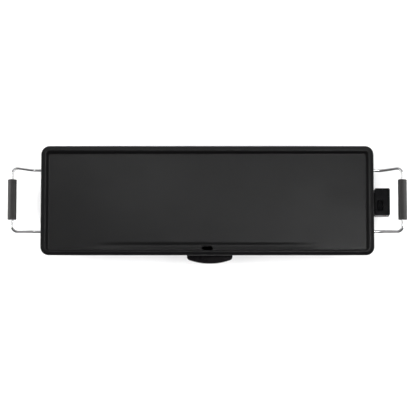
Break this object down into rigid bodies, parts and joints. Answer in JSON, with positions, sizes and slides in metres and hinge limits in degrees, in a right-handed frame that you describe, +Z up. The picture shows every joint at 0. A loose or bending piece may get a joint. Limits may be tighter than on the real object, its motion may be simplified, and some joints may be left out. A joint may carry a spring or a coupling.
{
  "type": "electric griddle",
  "caption": "Long electric table griddle with a rimmed non-stick plate, wire end handles, a sliding drip tray and a plug-in temperature controller.",
  "frame": {"origin": "middle of the footprint, on the surface the feet stand on", "axes": "+Z up, X along the plate with the controller at +X, Y from front to back with the drip tray at -Y"},
  "size_m": [0.837, 0.2466, 0.0975],
  "materials": {
    "non_stick": "black non-stick coating on die-cast aluminium, satin",
    "chrome": "bright chrome-plated steel rod",
    "steel": "zinc-plated or stainless steel",
    "phenolic": "moulded heat-resistant phenolic, satin black",
    "grip": "moulded grip sleeve, matt black",
    "rubber": "matt black rubber",
    "enamel": "black coated drip tray, satin",
    "ceramic": "unglazed steatite ceramic insulator",
    "brass": "bright contact brass",
    "lens": "translucent red polycarbonate",
    "glass": "clear glass capsule"
  },
  "bodies": {
    "griddle": {"griddle_plate": "non_stick", "grip_left": "grip", "grip_right": "grip", "handle_clamp_screw_front_left": "steel", "handle_clamp_screw_front_right": "steel", "handle_clamp_screw_rear_left": "steel", "handle_clamp_screw_rear_right": "steel", "handle_rod_left": "chrome", "handle_rod_right": "chrome", "heating_element": "steel", "inlet_screw_front": "steel", "inlet_screw_rear": "steel", "inlet_shroud": "phenolic", "leg_front_left": "phenolic", "leg_front_right": "phenolic", "leg_rear_left": "phenolic", "leg_rear_right": "phenolic", "leg_screw_front_left": "steel", "leg_screw_front_right": "steel", "leg_screw_rear_left": "steel", "leg_screw_rear_right": "steel", "rail_screw_front_left": "steel", "rail_screw_front_right": "steel", "rail_screw_rear_left": "steel", "rail_screw_rear_right": "steel", "rubber_foot_front_left": "rubber", "rubber_foot_front_right": "rubber", "rubber_foot_rear_left": "rubber", "rubber_foot_rear_right": "rubber", "terminal_insulator_front": "ceramic", "terminal_insulator_rear": "ceramic", "terminal_pin_front": "brass", "terminal_pin_rear": "brass", "tray_rail_left": "steel", "tray_rail_right": "steel"},
    "tray": {"drip_tray": "enamel"},
    "controller": {"controller_top_shell": "phenolic", "controller_bottom_shell": "phenolic", "contact_block": "phenolic", "contact_socket_front": "brass", "contact_socket_rear": "brass", "sensor_probe": "steel", "thermostat_switch": "brass", "pilot_lens": "lens", "neon_lamp": "glass", "cord_gland": "rubber", "shell_screw_front": "steel", "shell_screw_rear": "steel"},
    "dial": {"dial_wheel": "phenolic", "dial_shaft": "steel"}
  },
  "joints": [
    {"name": "tray_slide", "type": "slide", "parent": "griddle", "child": "tray", "axis": [0, -1, 0], "range_m": [0, 0.1]},
    {"name": "controller_slide", "type": "slide", "parent": "griddle", "child": "controller", "axis": [1, 0, 0], "range_m": [0, 0.1]},
    {"name": "dial_turn", "type": "hinge", "parent": "controller", "child": "dial", "pos_m": [0.3635, -0.00225, 0.0581], "axis": [1, 0, 0], "range_deg": [0, 240]}
  ]
}
